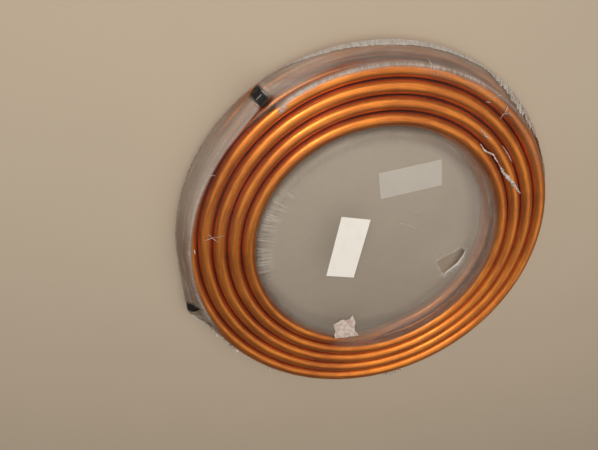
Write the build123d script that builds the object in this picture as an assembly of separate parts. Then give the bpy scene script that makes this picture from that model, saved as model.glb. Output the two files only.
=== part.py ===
from build123d import *
import math
import os

# Soft copper tube wound in two flat spiral layers and shrink-wrapped in clear film.
# The coil lies on its rear face: origin on the coil's axis at the rest plane, +Z up
# out of the front face. All sizes are in millimetres, all angles in degrees.

# Tube
TUBE_OD = 22.225
TUBE_WALL = 1.14
TURN_GAP = 0.975
TURN_SIDES = 8

# Radius of the rear layer's outer turn, and how much less the front layer's is
COIL_OUTER_RADIUS = 320.9
FRONT_LAYER_INSET = 10.0

# Front layer, wound inwards and counterclockwise from its free end
FRONT_START_ANGLE = 142.0
FRONT_HALF_TURNS = 8.63
FRONT_END_LENGTH = 84.0

# Crossover in the bore, then the rear layer, wound back outwards to the other free end
CROSSOVER_SPAN = 40.2
REAR_HALF_TURNS = 9.38
REAR_END_LENGTH = 98.0

# Free ends: a gentle lift off the flat, then straight
END_BEND_LENGTH = 45.0
END_BEND_LIFT = 0.6
END_BORE_DEPTH = 30.0

# Slip-on end caps
CAP_LENGTH = 20.0
CAP_WALL = 0.8
CAP_FIT = 0.1
CAP_END_THICKNESS = 1.6
CAP_EDGE_BEVEL = 1.2

# Shrink film
FILM_THICKNESS = 0.3
FILM_CLEARANCE = 0.3
FILM_CHAMFER = 5.5
FILM_CAP_SLACK = 1.2
DISH_DEPTH = 1.5
DISH_RIM_MARGIN = 5.8
DISH_SLOPE_WIDTH = 12.0

# Torn place in the front film, as points round its edge
TEAR_OUTLINE = [
    (115.0, -32.6),
    (126.9, -52.7),
    (135.2, -59.8),
    (142.2, -51.6),
    (157.9, -35.4),
    (165.3, -13.7),
    (156.7, -6.0),
    (145.2, -13.5),
    (127.7, -20.8),
]

# Paper pieces. A bearing is an angle round the coil's axis, counterclockwise from +X.
PAPER_THICKNESS = 0.25
FRONT_LABEL_SIZE = (50.0, 114.0)
FRONT_LABEL_CENTRE = (-52.3, 5.0)
FRONT_LABEL_TURN = -8.5
REAR_LABEL_SIZE = (110.0, 48.0)
REAR_LABEL_BEARING = 61.1
REAR_LABEL_MARGIN = 0.3
REAR_LABEL_TURN = -12.0

# Crumpled scrap, as points about its middle, which lies in from the edge of the bore
SCRAP_BEARING = -102.9
SCRAP_INSET = 28.6
SCRAP_OUTLINE = [
    (-26.0, 8.0),
    (-20.0, -26.0),
    (-5.0, -25.0),
    (25.0, -22.0),
    (17.0, -11.0),
    (15.0, 11.0),
    (8.0, 29.0),
    (-3.0, 16.0),
    (-13.0, 20.0),
]
SCRAP_HEIGHT = 2.4
SCRAP_TOP_SHARE = 0.8

# Values that follow from the ones above
HALF_TURN = 180.0
TUBE_RADIUS = TUBE_OD / 2
TURN_PITCH = TUBE_OD + TURN_GAP
REAR_OUTER_RADIUS = COIL_OUTER_RADIUS
FRONT_OUTER_RADIUS = COIL_OUTER_RADIUS - FRONT_LAYER_INSET
WOUND_HALF_TURNS = FRONT_HALF_TURNS + REAR_HALF_TURNS
REAR_END_ANGLE = FRONT_START_ANGLE + CROSSOVER_SPAN + WOUND_HALF_TURNS * HALF_TURN
FILM_GAP = FILM_THICKNESS + FILM_CLEARANCE
REAR_LAYER_Z = FILM_GAP + TUBE_RADIUS
FRONT_LAYER_Z = REAR_LAYER_Z + TUBE_OD
MID_Z = REAR_LAYER_Z + TUBE_RADIUS
HEIGHT = FRONT_LAYER_Z + TUBE_RADIUS + FILM_GAP
HALF_FLAT = TUBE_RADIUS * math.tan(math.pi / TURN_SIDES)
CENTRE_SHIFT = TURN_PITCH / 4
CAP_BORE_RADIUS = TUBE_RADIUS + CAP_FIT
CAP_RADIUS = CAP_BORE_RADIUS + CAP_WALL


def on_circle(centre_x, radius, angle):
    """A point on a circle whose centre lies on the X axis."""
    turn = math.radians(angle)
    return Vector(centre_x + radius * math.cos(turn), radius * math.sin(turn), 0)


def turn_radius(outer_radius, half_turn):
    """Radius of a half turn about its own centre, which lies beside the coil's axis."""
    return outer_radius - CENTRE_SHIFT - half_turn * TURN_PITCH / 2


def half_turn_centre(half_turn):
    """Even and odd half turns have centres on opposite sides of the axis, which makes the spiral."""
    side = 1 if half_turn % 2 == 0 else -1
    return side * CENTRE_SHIFT


def turn_outline():
    """A turn's section: a many-sided figure with a flat on its crest, so that it has few faces."""
    corner = HALF_TURN / TURN_SIDES
    return RegularPolygon(TUBE_RADIUS, TURN_SIDES, major_radius=False, rotation=corner)


def ridge_section(radii, web_inner, web_outer):
    """Half section of one layer: turns side by side, joined by a web at the foot of the grooves."""
    web_height = TUBE_RADIUS + HALF_FLAT
    section = Pos((web_inner + web_outer) / 2, web_height / 2) * Rectangle(
        web_outer - web_inner, web_height
    )
    for radius in radii:
        section += Pos(radius, TUBE_RADIUS) * turn_outline()
    return section


def swept_half(section, half_turn, arc):
    """Turn a half section through an arc about the centre of its half turn."""
    upright = Plane.XZ * section
    turned = revolve(upright, axis=Axis.Z, revolution_arc=arc)
    start = (half_turn % 2) * HALF_TURN
    return Pos(half_turn_centre(half_turn), 0, 0) * Rot(0, 0, start) * turned


def spiral_layer(outer_radius, half_turns):
    """One flat layer of turns, on the XY plane, wound inwards and counterclockwise from +X."""
    full = int(half_turns)
    layer = None
    for parity in (0, 1):
        radii = [turn_radius(outer_radius, k) for k in range(parity, full, 2)]
        section = ridge_section(radii, radii[-1] - HALF_FLAT, radii[0] + HALF_FLAT)
        half = swept_half(section, parity, HALF_TURN)
        layer = half if layer is None else layer + half
    last = turn_radius(outer_radius, full)
    section = ridge_section([last], last - HALF_FLAT, last + TURN_PITCH)
    return layer + swept_half(section, full, (half_turns - full) * HALF_TURN)


def end_path(outer_radius, length, lift):
    """Centre line of a free end, from the first turn back along its tangent."""
    bend = TangentArc(
        (outer_radius, 0, 0), (outer_radius, -END_BEND_LENGTH, lift), tangent=(0, -1, 0)
    )
    straight = Line(bend @ 1, (bend @ 1) + (bend % 1) * (length - END_BEND_LENGTH))
    return bend, straight


def tube_end(outer_radius, length, lift):
    """A free end of the tube, hollow as far as its cap and a little beyond."""
    path = Wire(end_path(outer_radius, length, lift))
    solid = sweep(Plane(origin=path @ 0, z_dir=path % 0) * Circle(TUBE_RADIUS), path=path)
    mouth = Plane(origin=path @ 1, z_dir=path % 1)
    bore = extrude(mouth * Circle(TUBE_RADIUS - TUBE_WALL), amount=-END_BORE_DEPTH)
    return solid - bore


def end_cap(outer_radius, length, lift):
    """A slip-on cap: a cup over the tube's mouth with a closed, rounded end."""
    bend, straight = end_path(outer_radius, length, lift)
    mouth = Plane(origin=straight @ 1, z_dir=straight % 1)
    outside = extrude(Circle(CAP_RADIUS), amount=CAP_LENGTH)
    outside = chamfer(outside.edges().group_by(Axis.Z)[-1], CAP_EDGE_BEVEL)
    inside = extrude(Circle(CAP_BORE_RADIUS), amount=CAP_LENGTH - CAP_END_THICKNESS)
    return mouth * Pos(0, 0, CAP_END_THICKNESS - CAP_LENGTH) * (outside - inside)


def place_front(shape):
    """Move a shape from the layer's own plane to the front layer."""
    return Pos(0, 0, MID_Z) * Rot(0, 0, FRONT_START_ANGLE) * shape


def place_rear(shape):
    """Turn a shape over, so that the rear layer is wound the other way and faces down."""
    return Pos(0, 0, MID_Z) * Rot(0, 0, REAR_END_ANGLE) * Rot(180, 0, 0) * shape


def at_front_end(make):
    """Make a piece of the front free end, at the height of the front layer's centres."""
    return place_front(Pos(0, 0, TUBE_RADIUS) * make(FRONT_OUTER_RADIUS, FRONT_END_LENGTH, END_BEND_LIFT))


def at_rear_end(make):
    """Make a piece of the rear free end, which also lifts away from the rest plane."""
    return place_rear(Pos(0, 0, TUBE_RADIUS) * make(REAR_OUTER_RADIUS, REAR_END_LENGTH, -END_BEND_LIFT))


def inner_end(outer_radius, half_turns):
    """Where a layer's innermost turn stops, at the height of its centres."""
    full = int(half_turns)
    angle = half_turns * HALF_TURN
    point = on_circle(half_turn_centre(full), turn_radius(outer_radius, full), angle)
    return Pos(point.X, point.Y, TUBE_RADIUS)


def bore_radius(outer_radius, half_turns):
    """Radius of the bore inside a layer's innermost turn."""
    end = inner_end(outer_radius, half_turns).position
    return math.hypot(end.X, end.Y) - TUBE_RADIUS


def crossover():
    """The stretch in the bore where the tube passes from the front layer to the rear one."""
    start = place_front(inner_end(FRONT_OUTER_RADIUS, FRONT_HALF_TURNS)).position
    end = place_rear(inner_end(REAR_OUTER_RADIUS, REAR_HALF_TURNS)).position
    flat_start = Vector(start.X, start.Y, 0)
    flat_end = Vector(end.X, end.Y, 0)
    radius = (flat_start.length + flat_end.length) / 2
    middle = (flat_start + flat_end).normalized() * radius
    path = ThreePointArc(start, (middle.X, middle.Y, MID_Z), end)
    section = RegularPolygon(TUBE_RADIUS, TURN_SIDES, rotation=HALF_TURN / TURN_SIDES)
    return sweep(Plane(origin=path @ 0, x_dir=flat_start, z_dir=path % 0) * section, path=path)


def copper_tube():
    """The wound tube as one turned solid with its bore, its turns and its two free ends."""
    front = place_front(spiral_layer(FRONT_OUTER_RADIUS, FRONT_HALF_TURNS))
    rear = place_rear(spiral_layer(REAR_OUTER_RADIUS, REAR_HALF_TURNS))
    return front + rear + at_front_end(tube_end) + at_rear_end(tube_end) + crossover()


def outer_turn_arcs(outer_radius, margin):
    """The outermost half turns of a layer in plan, with a margin round them."""
    arcs = []
    for half_turn in (0, 1):
        radius = turn_radius(outer_radius, half_turn) + TUBE_RADIUS + margin
        centre = (half_turn_centre(half_turn), 0)
        arcs.append(CenterArc(centre, radius, half_turn * HALF_TURN, HALF_TURN))
    return arcs


def cap_footprint(outer_radius, length, margin):
    """The outline of an end cap in plan, with a margin round it and a little slack."""
    middle = length + CAP_END_THICKNESS - CAP_LENGTH / 2
    room = margin + FILM_CAP_SLACK
    box = Rectangle(2 * (CAP_RADIUS + room), CAP_LENGTH + 2 * room)
    return Pos(outer_radius, -middle) * box


def film_outline(inset):
    """The film seen from above: it is drawn tight round the outer turns and the caps."""
    margin = FILM_GAP - inset
    front = outer_turn_arcs(FRONT_OUTER_RADIUS, margin)
    front.append(cap_footprint(FRONT_OUTER_RADIUS, FRONT_END_LENGTH, margin))
    rear = outer_turn_arcs(REAR_OUTER_RADIUS, margin)
    rear.append(cap_footprint(REAR_OUTER_RADIUS, REAR_END_LENGTH, margin))
    placed = [Rot(0, 0, FRONT_START_ANGLE) * piece for piece in front]
    placed += [Rot(0, 0, REAR_END_ANGLE) * Rot(180, 0, 0) * piece for piece in rear]
    edges = [edge for piece in placed for edge in piece.edges()]
    return make_hull(edges)


def film_hood(inset):
    """The film's swelling over the front free end and its cap, which rise above the turns."""
    straight = end_path(FRONT_OUTER_RADIUS, FRONT_END_LENGTH, END_BEND_LIFT)[1]
    mouth = Plane(origin=straight @ 1, x_dir=(0, 0, -1), z_dir=straight % 1)
    margin = FILM_GAP - inset
    cap_back = CAP_END_THICKNESS - CAP_LENGTH - margin
    cap_front = CAP_END_THICKNESS + margin
    profile = Polyline(
        (0, -FRONT_END_LENGTH),
        (TUBE_RADIUS + margin, -FRONT_END_LENGTH),
        (CAP_RADIUS + margin, cap_back),
        (CAP_RADIUS + margin, cap_front),
        (0, cap_front),
        close=True,
    )
    hood = revolve(Plane.XZ * make_face(profile), axis=Axis.Z)
    return place_front(Pos(0, 0, TUBE_RADIUS) * (mouth * hood))


def dish_rim_radius():
    """The rear film starts to dip a little inside the rear layer's innermost turn."""
    return bore_radius(REAR_OUTER_RADIUS, REAR_HALF_TURNS) - DISH_RIM_MARGIN


def film_body(inset):
    """All that the film's outside takes up, or, with an inset, all that its inside holds."""
    body = extrude(Pos(0, 0, inset) * film_outline(inset), amount=HEIGHT - 2 * inset)
    levels = body.edges().group_by(Axis.Z)
    body = chamfer(levels[0] + levels[-1], FILM_CHAMFER)
    rim_radius = dish_rim_radius() + inset
    dish = Cone(rim_radius, rim_radius - DISH_SLOPE_WIDTH, DISH_DEPTH)
    body -= Pos(0, 0, inset + DISH_DEPTH / 2) * dish
    return body + film_hood(inset)


def tear():
    """The torn hole, cut through the front film alone."""
    hole = make_face(Polyline(TEAR_OUTLINE, close=True))
    return Pos(0, 0, HEIGHT - TUBE_RADIUS) * extrude(hole, amount=2 * TUBE_RADIUS)


def film_skin():
    """The clear film: a thin skin all round the coil, open only where it is torn."""
    return film_body(0.0) - film_body(FILM_THICKNESS) - tear()


def flat_disc(bottom, top):
    """A disc wide enough to take a whole face of the film, between two heights."""
    radius = REAR_OUTER_RADIUS + REAR_END_LENGTH
    return Pos(0, 0, (bottom + top) / 2) * Cylinder(radius, top - bottom)


def front_slab():
    """The space of the film's front sheet, flat but for its swelling over the front free end."""
    return flat_disc(HEIGHT - FILM_THICKNESS, HEIGHT + TUBE_RADIUS)


def rear_slab():
    """The space of the film's rear sheet, which dips inwards across the bore."""
    dish_top = DISH_DEPTH + FILM_THICKNESS
    dish = Pos(0, 0, dish_top / 2) * Cylinder(dish_rim_radius() + FILM_THICKNESS, dish_top)
    return flat_disc(0, FILM_THICKNESS) + dish


def film_front():
    """The film across the front face and the bore, with its tear."""
    return film_skin() & front_slab()


def film_rear():
    """The film across the rear face and the bore."""
    return film_skin() & rear_slab()


def film_rim():
    """The film round the outside of the coil, joined to the front and rear sheets."""
    return film_skin() - front_slab() - rear_slab()


def paper(size, centre, turn, base):
    """A rectangular paper label lying flat, its lower face at the given height."""
    sheet = extrude(Rectangle(*size), amount=PAPER_THICKNESS)
    place = Vector(centre)
    return Pos(place.X, place.Y, base) * Rot(0, 0, turn) * sheet


def front_label():
    """The white label on the front film, across the bore."""
    return paper(FRONT_LABEL_SIZE, FRONT_LABEL_CENTRE, FRONT_LABEL_TURN, HEIGHT)


def rear_label():
    """The white label under the rear film, in the shallow dish across the bore."""
    floor_radius = dish_rim_radius() - DISH_SLOPE_WIDTH
    reach = math.hypot(*REAR_LABEL_SIZE) / 2 + REAR_LABEL_MARGIN
    centre = on_circle(0, floor_radius - reach, REAR_LABEL_BEARING)
    return paper(REAR_LABEL_SIZE, centre, REAR_LABEL_TURN, DISH_DEPTH - PAPER_THICKNESS)


def paper_scrap():
    """A crumpled scrap of white paper on the front film, at the lower edge of the bore."""
    top_points = [(x * SCRAP_TOP_SHARE, y * SCRAP_TOP_SHARE) for x, y in SCRAP_OUTLINE]
    sheet = extrude(make_face(Polyline(SCRAP_OUTLINE, close=True)), amount=PAPER_THICKNESS)
    crumple = extrude(make_face(Polyline(top_points, close=True)), amount=SCRAP_HEIGHT)
    radius = bore_radius(FRONT_OUTER_RADIUS, FRONT_HALF_TURNS) - SCRAP_INSET
    middle = on_circle(0, radius, SCRAP_BEARING)
    return Pos(middle.X, middle.Y, HEIGHT) * (sheet + crumple)


PIECES = {
    "copper_tube": copper_tube,
    "end_cap_front": lambda: at_front_end(end_cap),
    "end_cap_rear": lambda: at_rear_end(end_cap),
    "film_front": film_front,
    "film_rear": film_rear,
    "film_rim": film_rim,
    "front_label": front_label,
    "rear_label": rear_label,
    "paper_scrap": paper_scrap,
}

os.makedirs("parts", exist_ok=True)
for name, make in PIECES.items():
    export_step(make(), f"parts/{name}.step")
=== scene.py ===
import math

import bpy
import numpy as np
from bpy.props import FloatProperty, FloatVectorProperty, IntProperty, PointerProperty
from mathutils import Matrix, Vector, noise


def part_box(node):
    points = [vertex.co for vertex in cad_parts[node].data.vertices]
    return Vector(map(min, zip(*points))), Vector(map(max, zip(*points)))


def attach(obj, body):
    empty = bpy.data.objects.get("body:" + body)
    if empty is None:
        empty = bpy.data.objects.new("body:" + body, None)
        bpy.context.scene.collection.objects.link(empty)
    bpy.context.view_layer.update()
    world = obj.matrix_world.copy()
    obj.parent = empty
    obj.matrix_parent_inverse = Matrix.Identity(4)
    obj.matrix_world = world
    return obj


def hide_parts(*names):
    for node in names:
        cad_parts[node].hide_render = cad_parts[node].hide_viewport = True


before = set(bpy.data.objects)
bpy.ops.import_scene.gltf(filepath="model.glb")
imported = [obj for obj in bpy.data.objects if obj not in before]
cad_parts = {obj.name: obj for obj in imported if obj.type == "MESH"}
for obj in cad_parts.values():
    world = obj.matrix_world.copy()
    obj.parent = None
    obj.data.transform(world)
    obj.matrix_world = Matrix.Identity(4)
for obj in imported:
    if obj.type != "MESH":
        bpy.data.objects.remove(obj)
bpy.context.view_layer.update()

# Soft copper tube wound in two flat spiral layers, shrink-wrapped in clear film.
# Metres throughout. The coil lies on its rear face, with its axis along Z.

bl_info = {
    "name": "Copper tube coil",
    "version": (1, 0, 0),
    "blender": (4, 5, 0),
    "location": "View3D > Sidebar > Tube coil",
    "description": "Builds a shrink-wrapped coil of soft copper tube, piece by piece",
    "category": "Object",
}

HALF_TURN = 180.0
FULL_TURN = 360.0


def length_property(name, description, default):
    """A size in metres, for a property group."""
    return FloatProperty(name=name, description=description, default=default, unit="LENGTH", precision=5)


def degrees_property(name, description, default):
    """An angle in degrees, for a property group."""
    return FloatProperty(name=name, description=description, default=default)


def power_property(name, description, default):
    """A light's power in watts, for a property group."""
    return FloatProperty(name=name, description=description, default=default)


def colour_property(name, description, default):
    """A linear colour, for a property group."""
    return FloatVectorProperty(
        name=name, description=description, default=default, size=3, subtype="COLOR", min=0.0, max=1.0
    )


class CoilSizes(bpy.types.PropertyGroup):
    """The wound tube: the same driving sizes as the solid has."""

    tube_diameter: length_property("Tube diameter", "Outside diameter of the tube", 0.022225)
    turn_gap: length_property("Turn gap", "Gap between turns side by side", 0.000975)
    outer_radius: length_property("Outer radius", "Radius of the rear layer's outer turn", 0.3209)
    front_inset: length_property("Front inset", "How much smaller the front layer is", 0.010)
    front_start: degrees_property("Front start", "Bearing of the front layer's outer end", 142.0)
    front_turned: degrees_property("Front turned", "Angle that the front layer is wound through", 1553.4)
    front_end: length_property("Front end", "Length of the front free end", 0.084)
    rear_start: degrees_property("Rear start", "Bearing of the rear layer's outer end", 184.0)
    rear_turned: degrees_property("Rear turned", "Angle that the rear layer is wound through", 1688.4)
    rear_end: length_property("Rear end", "Length of the rear free end", 0.098)
    bend_length: length_property("End bend", "Length of the bend that lifts a free end", 0.045)
    bend_lift: length_property("End lift", "How far that bend lifts it", 0.0006)
    film_gap: length_property("Film gap", "Height of the film's outside above the tube", 0.0006)
    step_angle: degrees_property("Step", "Angle between sections of the tube's mesh", 2.5)
    sides: IntProperty(name="Half sides", description="Bevel resolution of the tube", default=10)


class CopperLook(bpy.types.PropertyGroup):
    """Colours of the drawn copper."""

    bright: colour_property("Bright", "Clean copper", (0.83, 0.28, 0.048))
    dull: colour_property("Dull", "Copper that has darkened", (0.44, 0.120, 0.030))


class FilmLook(bpy.types.PropertyGroup):
    """Shape and colours of the shrink film."""

    thickness: length_property("Thickness", "Thickness of the film", 0.0003)
    groove_sag: length_property("Groove sag", "How far the film dips between turns", 0.0030)
    contact_width: length_property("Contact", "Half width of the film's contact with a crest", 0.0042)
    rear_dish: length_property("Rear dish", "How far the rear film stands up across the bore", 0.0015)
    seam_width: length_property("Seam width", "Greatest width of the ragged weld round the rim", 0.030)
    label_room: length_property("Label room", "How far the rear film stands clear of its label", 0.00115)
    haze: colour_property("Haze", "Film across the bore", (0.68, 0.62, 0.545))
    rim_haze: colour_property("Rim haze", "Film that stands off round the rim", (0.255, 0.190, 0.150))
    whitened: colour_property("Whitened", "Film that is creased, stretched or torn", (0.86, 0.83, 0.80))
    clear_alpha: FloatProperty(name="Clear", description="Cover of film that clings", default=0.015)
    haze_alpha: FloatProperty(name="Hazy", description="Cover of film that stands off", default=0.50)


class CapLook(bpy.types.PropertyGroup):
    """Shape and colour of the end caps."""

    length: length_property("Length", "Length of a cap", 0.020)
    wall: length_property("Wall", "Thickness of its wall", 0.0008)
    fit: length_property("Fit", "Gap between the wall and the tube", 0.0001)
    end_thickness: length_property("End", "Thickness of its closed end", 0.0016)
    dimple_depth: length_property("Dimple depth", "Depth of the grip's dimples", 0.00045)
    plastic: colour_property("Plastic", "Moulded plastic", (0.006, 0.006, 0.007))


class PaperLook(bpy.types.PropertyGroup):
    """Sizes and colour of the paper pieces."""

    thickness: length_property("Thickness", "Thickness of the paper", 0.00025)
    label_white: colour_property("Label", "Label paper", (0.92, 0.905, 0.87))
    scrap_white: colour_property("Scrap", "Soiled scrap paper", (0.72, 0.62, 0.575))


class StageLook(bpy.types.PropertyGroup):
    """The floor, the light and the camera."""

    floor_size: length_property("Floor", "Side of the floor", 9.0)
    floor_colour: colour_property("Floor colour", "Pale floor", (0.50, 0.42, 0.33))
    sky_strength: FloatProperty(name="Sky", description="Strength of the even light", default=0.21)
    overhead_power: power_property("Overhead", "Power of the overhead light in watts", 18.5)
    right_power: power_property("Right", "Power of the light on the right in watts", 9.3)
    far_power: power_property("Far", "Power of the light beyond the coil in watts", 8.0)
    side_power: power_property("Side", "Power of the small side light in watts", 10.0)
    lens: FloatProperty(name="Lens", description="Focal length in millimetres", default=25.79)


class CoilSettings(bpy.types.PropertyGroup):
    """Everything that a user may change."""

    sizes: PointerProperty(type=CoilSizes)
    copper: PointerProperty(type=CopperLook)
    film: PointerProperty(type=FilmLook)
    cap: PointerProperty(type=CapLook)
    paper: PointerProperty(type=PaperLook)
    stage: PointerProperty(type=StageLook)


# The crossover's handles, as a share of the distance between the layers' inner ends
CROSSOVER_REACH = 0.36
# How far behind a free end's root its straight line is followed, in radians about the axis
FREE_END_SPAN = 0.6
# How far along the tube the film already rises to a cap
CAP_LEAD = 0.002
# Radius inside which the film's stations are wide apart, and bands of radius over which the folds
# across the bore end and the rear film comes down to its turns
FLAT_FILM = 0.180
FOLDS_END = (0.196, 0.208)
RISE_END = (0.184, 0.196)
# Stations of the blank: across the bore and the turns, on the front and the rear, and down the rim
FRONT_STATIONS = (34, 66)
REAR_STATIONS = (12, 34)
RIM_STATIONS = 15
FILM_SECTORS = 300
# Places within this of the blank's two faces belong to them, and points this close are one
FACE_TOUCH = 0.0001
MERGE_DISTANCE = 0.00001
# Slope of the film past the last turn
FREE_SLOPE = 0.12
# Heights of the folds and waves in the film across the bore, and how far it sags there
FOLD_HEIGHT = 0.00022
WAVE_HEIGHT = 0.00030
BORE_SAG = 0.00050
# Distances between which the film goes from clinging to standing off a turn, and from tight over a
# cap to free, along the cap and across it
LETS_GO = (0.0024, 0.0110)
FREE_ALONG_CAP = (0.0095, 0.0125)
FREE_ACROSS_CAP = (0.0135, 0.0170)
# Shares of the way down the rim at which the film leaves the front tube and meets the rear one
RIM_BENDS = (0.25, 0.70)

# Torn place in the front film, and the scrap's outline about its middle, as points round the edge
TEAR_OUTLINE = [
    (0.1150, -0.0326), (0.1269, -0.0527), (0.1352, -0.0598), (0.1422, -0.0516), (0.1579, -0.0354),
    (0.1653, -0.0137), (0.1567, -0.0060), (0.1452, -0.0135), (0.1277, -0.0208),
]
SCRAP_OUTLINE = [
    (-0.026, 0.008), (-0.0215, -0.008), (-0.0225, -0.017), (-0.020, -0.026), (-0.012, -0.0245),
    (-0.005, -0.026), (0.006, -0.0235), (0.016, -0.0245), (0.025, -0.022), (0.021, -0.015),
    (0.017, -0.011), (0.0145, 0.000), (0.0155, 0.011), (0.012, 0.019), (0.008, 0.029),
    (0.004, 0.021), (-0.003, 0.0155), (-0.008, 0.020), (-0.013, 0.0185), (-0.020, 0.013),
]
# How far the film has whitened round the tear, how much further on the lip's side, and which way
# that side lies; then how high the tear's edge lifts
WHITE_REACH = 0.0022
LIP_WHITE_REACH = 0.0090
TOWARDS_LIP = (0.64, -0.77)
TEAR_LIFT = 0.0010
# Edge of the tear whose lip has curled up, and the curl's width and height
LIP_LINE = [(0.1340, -0.0590), (0.1430, -0.0500), (0.1560, -0.0360), (0.1625, -0.0210), (0.1650, -0.0120)]
LIP_WIDTH = 0.0030
LIP_HEIGHT = 0.00090
# Drawn-out strands and scratches on the front, and painted glints over the front cap: half width, then points
# along each one
STRANDS = [
    (0.0007, [(0.0318, 0.3060), (0.0412, 0.2957), (0.0511, 0.2840)]),
    (0.0008, [(0.1720, 0.2429), (0.1718, 0.2325), (0.1665, 0.2219)]),
    (0.0008, [(0.1681, 0.2280), (0.1772, 0.2310), (0.1858, 0.2250)]),
    (0.0010, [(0.1364, 0.2471), (0.1433, 0.2457)]),
    (0.0016, [(0.1357, 0.2067), (0.1487, 0.1957), (0.1585, 0.1909)]),
    (0.0021, [(0.1436, 0.1831), (0.1535, 0.1717), (0.1709, 0.1649), (0.1860, 0.1480)]),
    (0.0041, [(0.1860, 0.1480), (0.1974, 0.1340), (0.2167, 0.1177), (0.2403, 0.0953)]),
    (0.0010, [(0.1823, 0.1795), (0.1944, 0.1679), (0.2084, 0.1509)]),
    (0.0008, [(0.1429, 0.2530), (0.1518, 0.2559), (0.1611, 0.2575)]),
    (0.0005, [(0.0233, 0.0519), (0.0510, 0.0431), (0.0824, 0.0281)]),
    (0.0004, [(0.0500, 0.0692), (0.0840, 0.0660)]),
    (0.0005, [(-0.2860, 0.0327), (-0.2705, 0.0372), (-0.2536, 0.0399)]),
    (0.0004, [(-0.2790, 0.0440), (-0.2705, 0.0330), (-0.2650, 0.0290)]),
    (0.0016, [(-0.3022, 0.0173), (-0.3014, 0.0081)]),
    (0.0005, [(-0.2609, 0.1729), (-0.2525, 0.1757)]),
    # These three strips over the front cap are painted glints along its end, crest and mouth, standing in for
    # highlights as well as film creases
    (0.0005, [(-0.1972, 0.2607), (-0.1930, 0.2573), (-0.1886, 0.2539)]),
    (0.0005, [(-0.1973, 0.2557), (-0.2010, 0.2520), (-0.2043, 0.2484)]),
    (0.0005, [(-0.2093, 0.2468), (-0.2046, 0.2431), (-0.1999, 0.2394)]),
    (0.0012, [(0.1150, -0.0326), (0.1277, -0.0208), (0.1452, -0.0135), (0.1567, -0.0060), (0.1690, -0.0075)]),
    (0.0005, [(-0.2770, 0.1341), (-0.2696, 0.1400), (-0.2625, 0.1399)]),
]
# Where the film lets go of the outer front turn: bearing, and how far past the turn's crest
HAZE_EDGE = [
    (40.0, 0.0060), (60.0, 0.0045), (123.0, 0.0035), (129.0, -0.0085), (152.0, -0.0080),
    (168.0, -0.0055), (184.0, -0.0030), (206.0, 0.0010),
]
# Width of the weld round the rim by bearing, as a share of its greatest width
SEAM_WIDTHS = [
    (0.0, 0.04), (18.0, 0.10), (26.0, 0.95), (44.0, 1.25), (56.0, 0.90), (64.0, 0.26), (78.0, 0.32),
    (96.0, 0.34), (108.0, 0.22), (122.0, 0.08), (196.0, 0.05), (204.0, 0.05), (208.0, 1.30),
    (216.0, 1.45), (230.0, 1.35), (244.0, 1.20), (249.0, 0.05), (276.0, 0.05), (281.0, 1.50),
    (287.0, 1.50), (291.0, 0.05), (360.0, 0.04),
]
# Rows of the weld, from its foot to its free edge: share of its width, and height above the film
SEAM_ROWS = [(-0.02, 0.0001), (0.0, 0.0009), (0.06, 0.0003), (0.35, 0.0004), (0.70, 0.0006), (1.0, 0.0009)]
SEAM_STEPS = 900
# Where the weld's foot is, as a share of the way down the rim, how far up it may reach from there,
# the rim's length in section and how far the weld may rise above the front film
SEAM_FOOT = 0.77
SEAM_REACH = 0.72
RIM_LENGTH = 0.054
SEAM_CLEARANCE = 0.0004
# Stretches of the rim: middle bearing, half width and fade, in degrees
LOOSE_FILM = (125.0, 74.0, 16.0)
MILKY_FILM = (168.0, 36.0, 10.0)
CLEARED_FILM = (119.0, 6.0, 20.0)
# SHINY_FILM is where the painted sheen on the rim's bend is strongest
SHINY_FILM = (98.0, 28.0, 8.0)
GREY_FILM = (140.0, 20.0, 20.0)
TOP_FILM = (85.0, 25.0, 15.0)
RIBBED_FILM = (168.0, 16.0, 18.0)
FROSTED_FILM = (56.0, 24.0, 10.0)
EVEN_WELD = (94.0, 26.0, 12.0)
# How far the weld stands out, by stretch of the rim
WELD_FLARES = [(0.0052, (224.0, 14.0, 10.0)), (0.0070, (284.0, 4.0, 3.0))]
# Bearing towards which the film across the bore is palest: painted light, a brighter patch painted into its
# haze
PALE_BEARING = 105.0
# Seeds of the film's folds
FRONT_WRINKLES = 5
REAR_WRINKLES = 11

# Paper labels: node, name, width and height, turn in degrees, and seed of the cockle
LABELS = [
    ("front_label", "front_paper_label", (0.050, 0.114), -8.5, 8),
    ("rear_label", "rear_paper_label", (0.110, 0.048), 12.0, 9),
]
COCKLE_HEIGHT = 0.00018
# Side of the sheet that the scrap is cut from, and the height of its creases
SCRAP_SHEET = 0.060
CREASE_HEIGHT = 0.0026

# The floor's level, just under the coil
FLOOR_LEVEL = -0.0002
# Soft lights that face straight down: name, place and size
BROAD_LIGHTS = [
    ("overhead", (-0.28, 0.68, 1.70), (2.5, 2.5)),
    ("right", (1.60, -0.15, 1.70), (1.6, 2.2)),
    ("far", (0.70, 1.75, 1.74), (1.8, 1.6)),
]
# The small light that faces the coil's middle
SIDE_LIGHT = ("side", (-0.70, 1.00, 1.50), (0.22, 0.22))
LAMP_COLOUR = (1.0, 0.94, 0.85)
SKY_COLOUR = (1.0, 0.95, 0.89, 1.0)
# The photograph's own view of the coil, worked out from its turns
VIEW_PLACE = (-0.2493, 0.3729, 0.6346)
VIEW_RIGHT = (0.9855, 0.0415, 0.1648)
VIEW_UP = (0.0415, 0.8817, -0.4699)


def settings():
    """The scene's settings."""
    return bpy.context.scene.tube_coil


def tube_radius():
    """Outside radius of the tube."""
    return settings().sizes.tube_diameter / 2


def film_radius():
    """Radius of the film's outside where it lies round the tube."""
    return tube_radius() + settings().sizes.film_gap


def turn_pitch():
    """Distance between the centres of neighbouring turns."""
    return settings().sizes.tube_diameter + settings().sizes.turn_gap


def rear_height():
    """Height of the rear layer's centre line."""
    return film_radius()


def front_height():
    """Height of the front layer's centre line."""
    return rear_height() + settings().sizes.tube_diameter


def top_height():
    """Height of the film's outside over the front crests."""
    return front_height() + film_radius()


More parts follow.
